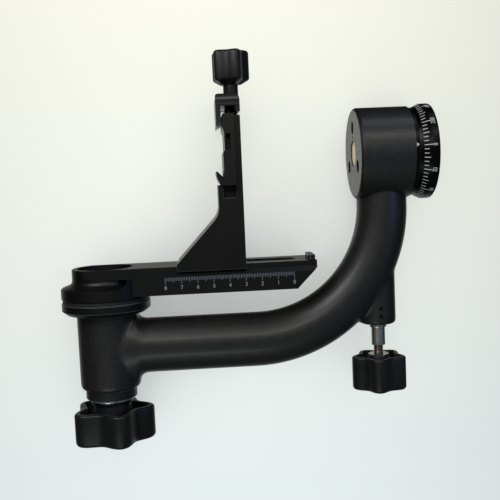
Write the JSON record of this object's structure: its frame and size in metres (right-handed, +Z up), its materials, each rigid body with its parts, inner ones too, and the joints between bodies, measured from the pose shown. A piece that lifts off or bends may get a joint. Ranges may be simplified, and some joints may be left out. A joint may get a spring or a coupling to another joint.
{
  "type": "gimbal tripod head",
  "caption": "Side-mount gimbal tripod head: curved carbon arm on a panning base, swinging arm with a sliding bracket and a screw clamp for a long lens, locked by hand knobs.",
  "frame": {"origin": "centre of the flat tripod face under the pan base, on the pan axis", "axes": "+Z up along the pan axis; +X is the lens side, away from the curved arm and its knobs; the tilt axis runs along X; +Y is square to both"},
  "size_m": [0.245, 0.0604, 0.2391],
  "materials": {
    "carbon": "carbon twill under a satin clear coat",
    "black_anodised": "satin black anodised aluminium",
    "black_paint": "fine satin black coating on cast aluminium",
    "scale_black": "black anodised with engraved white marks",
    "knob_rubber": "soft matte black moulded rubber over plastic",
    "bright_steel": "turned steel",
    "chrome_steel": "polished steel",
    "silver_alloy": "turned bright aluminium",
    "brass": "turned brass with a dull face",
    "black_steel": "black oxide screws",
    "friction_plastic": "low-friction nylon",
    "bronze_rod": "dull bronze coloured steel thread"
  },
  "bodies": {
    "pan_base": {"base_plate": "black_anodised", "base_screws": "black_steel", "thread_insert": "bright_steel", "scale_ring": "scale_black", "pan_spindle": "bright_steel", "spindle_nut": "brass", "pan_inner_races": "chrome_steel"},
    "arm": {"pan_outer_races": "chrome_steel", "pan_balls": "chrome_steel", "bearing_carrier": "silver_alloy", "index_collar": "black_anodised", "pan_housing": "carbon", "cap_screws": "black_steel", "arm_tube": "carbon", "lock_boss": "black_paint", "lock_bush": "silver_alloy", "bush_set_screws": "black_steel", "tilt_housing": "carbon", "tilt_flange": "black_anodised", "flange_screws": "black_steel", "friction_ring": "friction_plastic", "tilt_outer_races": "chrome_steel", "tilt_balls": "chrome_steel", "race_spacer": "silver_alloy", "tilt_collar": "black_anodised"},
    "pan_brake": {"brake_pad": "brass", "brake_rod": "bright_steel"},
    "pan_lock": {"pan_lock_screw": "bronze_rod", "pan_knob": "knob_rubber", "pan_knob_insert": "bright_steel"},
    "swing": {"tilt_inner_races": "chrome_steel", "tilt_shaft": "black_steel", "shaft_screws": "black_steel", "swing_arm": "black_anodised", "end_stop": "black_anodised"},
    "tilt_brake": {"thrust_washer": "chrome_steel"},
    "tilt_lock": {"tilt_knob": "knob_rubber", "tilt_knob_insert": "chrome_steel"},
    "platform": {"platform_bracket": "black_anodised", "slide_nut": "black_steel", "bracket_screws": "black_steel", "clamp_base": "black_anodised", "clamp_base_screws": "black_steel", "guide_pins": "bright_steel"},
    "jaw": {"clamp_jaw": "black_anodised"},
    "clamp_lock": {"clamp_screw": "bright_steel", "clamp_knob": "knob_rubber"}
  },
  "joints": [
    {"name": "pan_swivel", "type": "hinge", "parent": "pan_base", "child": "arm", "pos_m": [0, 0, 0], "axis": [0, 0, 1], "continuous": true},
    {"name": "tilt_swivel", "type": "hinge", "parent": "arm", "child": "swing", "pos_m": [-0.1, 0, 0.211], "axis": [1, 0, 0], "continuous": true},
    {"name": "platform_slide", "type": "slide", "parent": "swing", "child": "platform", "axis": [0, 0, 1], "range_m": [-0.039, 0.009]},
    {"name": "jaw_slide", "type": "slide", "parent": "platform", "child": "jaw", "axis": [1, 0, 0], "range_m": [-0.0005, 0.005]},
    {"name": "clamp_knob_turn", "type": "hinge", "parent": "jaw", "child": "clamp_lock", "pos_m": [0.05, 0, 0.1254], "axis": [1, 0, 0], "range_deg": [-180.1, 1800.1]},
    {"name": "tilt_brake_slide", "type": "slide", "parent": "swing", "child": "tilt_brake", "axis": [-1, 0, 0], "range_m": [0, 0.0015]},
    {"name": "tilt_knob_turn", "type": "hinge", "parent": "tilt_brake", "child": "tilt_lock", "pos_m": [-0.165, 0, 0.211], "axis": [-1, 0, 0], "range_deg": [0, 360.1]},
    {"name": "pan_brake_slide", "type": "slide", "parent": "arm", "child": "pan_brake", "axis": [-1, 0, 0], "range_m": [0, 0.001]},
    {"name": "pan_knob_turn", "type": "hinge", "parent": "pan_brake", "child": "pan_lock", "pos_m": [-0.14, 0, 0.036], "axis": [-1, 0, 0], "range_deg": [0, 360.1]}
  ],
  "couplings": [
    {"joint": "clamp_knob_turn", "follows": "jaw_slide", "rad_per_m": 6283.2},
    {"joint": "tilt_knob_turn", "follows": "tilt_brake_slide", "rad_per_m": 4188.8},
    {"joint": "pan_knob_turn", "follows": "pan_brake_slide", "rad_per_m": 6283.2}
  ]
}
